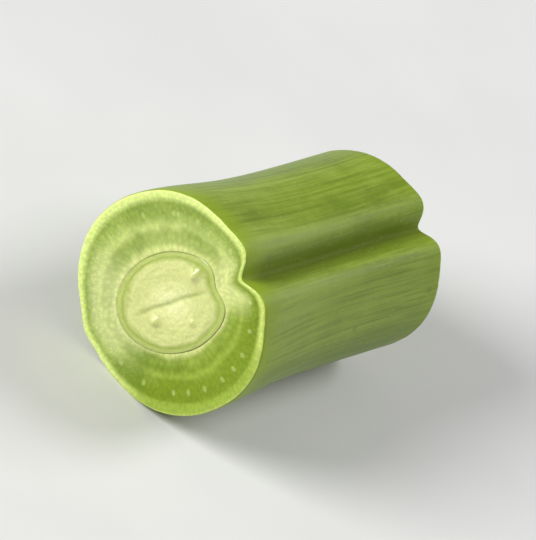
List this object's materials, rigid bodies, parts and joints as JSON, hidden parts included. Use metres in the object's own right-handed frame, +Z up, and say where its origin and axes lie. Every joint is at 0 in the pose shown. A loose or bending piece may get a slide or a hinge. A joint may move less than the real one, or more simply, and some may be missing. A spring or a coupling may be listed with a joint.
{
  "type": "cut piece of green bean",
  "caption": "Short piece cut from a round green bean pod, lying on its side, with a grooved seam, a sliced pale seed at one end and an open seed chamber at the other.",
  "frame": {"origin": "under the middle of the piece, on the surface that it lies on", "axes": "+X along the pod from the end cut through the seed to the hollow end, +Z up"},
  "size_m": [0.0138, 0.0104, 0.0104],
  "materials": {
    "pod": "satin green pod skin, moist paler flesh where it is cut",
    "seed": "moist cream-green, sliced"
  },
  "bodies": {
    "root": {"pod_wall": "pod", "seed": "seed"}
  },
  "joints": []
}
